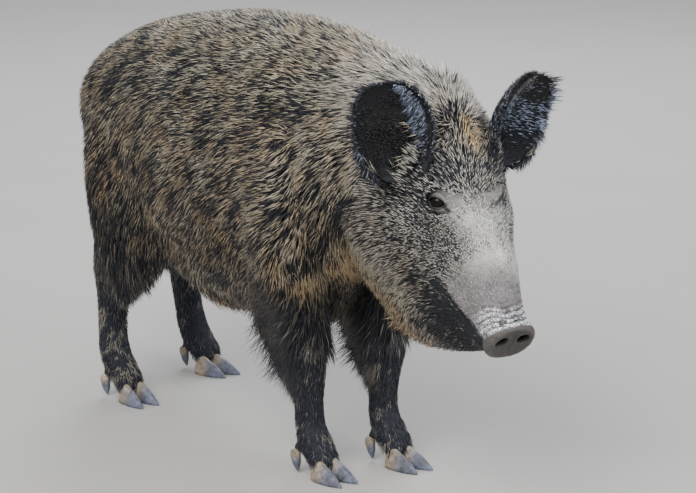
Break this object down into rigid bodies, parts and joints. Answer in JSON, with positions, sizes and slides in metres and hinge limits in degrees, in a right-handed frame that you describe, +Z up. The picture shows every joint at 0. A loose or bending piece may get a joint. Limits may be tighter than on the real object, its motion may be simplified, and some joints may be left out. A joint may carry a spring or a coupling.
{
  "type": "wild boar",
  "caption": "Life-size still model of a wild boar sow standing square in a thick winter coat, head lowered and ears up.",
  "frame": {"origin": "on the floor under the middle of the whole, centred on its length and width", "axes": "+X towards the snout, +Y to the animal's left, +Z up"},
  "size_m": [1.2974, 0.3808, 0.803],
  "materials": {
    "coat": "coarse grizzled hair",
    "dark_coat": "coarse dark hair",
    "face_coat": "short grey-straw hair",
    "nose_skin": "matt bare skin with dried mud",
    "horn": "satin",
    "eye": "wet gloss"
  },
  "bodies": {
    "root": {"trunk": "coat", "neck": "coat", "claw_front_right_inner": "horn", "dewclaw_front_right_inner": "horn", "claw_front_right_outer": "horn", "dewclaw_front_right_outer": "horn", "shoulder_front_right": "dark_coat", "forearm_front_right": "dark_coat", "shank_front_right": "dark_coat", "claw_front_left_inner": "horn", "dewclaw_front_left_inner": "horn", "claw_front_left_outer": "horn", "dewclaw_front_left_outer": "horn", "shoulder_front_left": "dark_coat", "forearm_front_left": "dark_coat", "shank_front_left": "dark_coat", "claw_hind_right_inner": "horn", "dewclaw_hind_right_inner": "horn", "claw_hind_right_outer": "horn", "dewclaw_hind_right_outer": "horn", "thigh_hind_right": "dark_coat", "gaskin_hind_right": "dark_coat", "shank_hind_right": "dark_coat", "claw_hind_left_inner": "horn", "dewclaw_hind_left_inner": "horn", "claw_hind_left_outer": "horn", "dewclaw_hind_left_outer": "horn", "thigh_hind_left": "dark_coat", "gaskin_hind_left": "dark_coat", "shank_hind_left": "dark_coat", "head": "face_coat", "snout_disc": "nose_skin", "ear_right": "dark_coat", "eye_right": "eye", "ear_left": "dark_coat", "eye_left": "eye", "tail": "dark_coat", "tail_tuft": "dark_coat"}
  },
  "joints": []
}
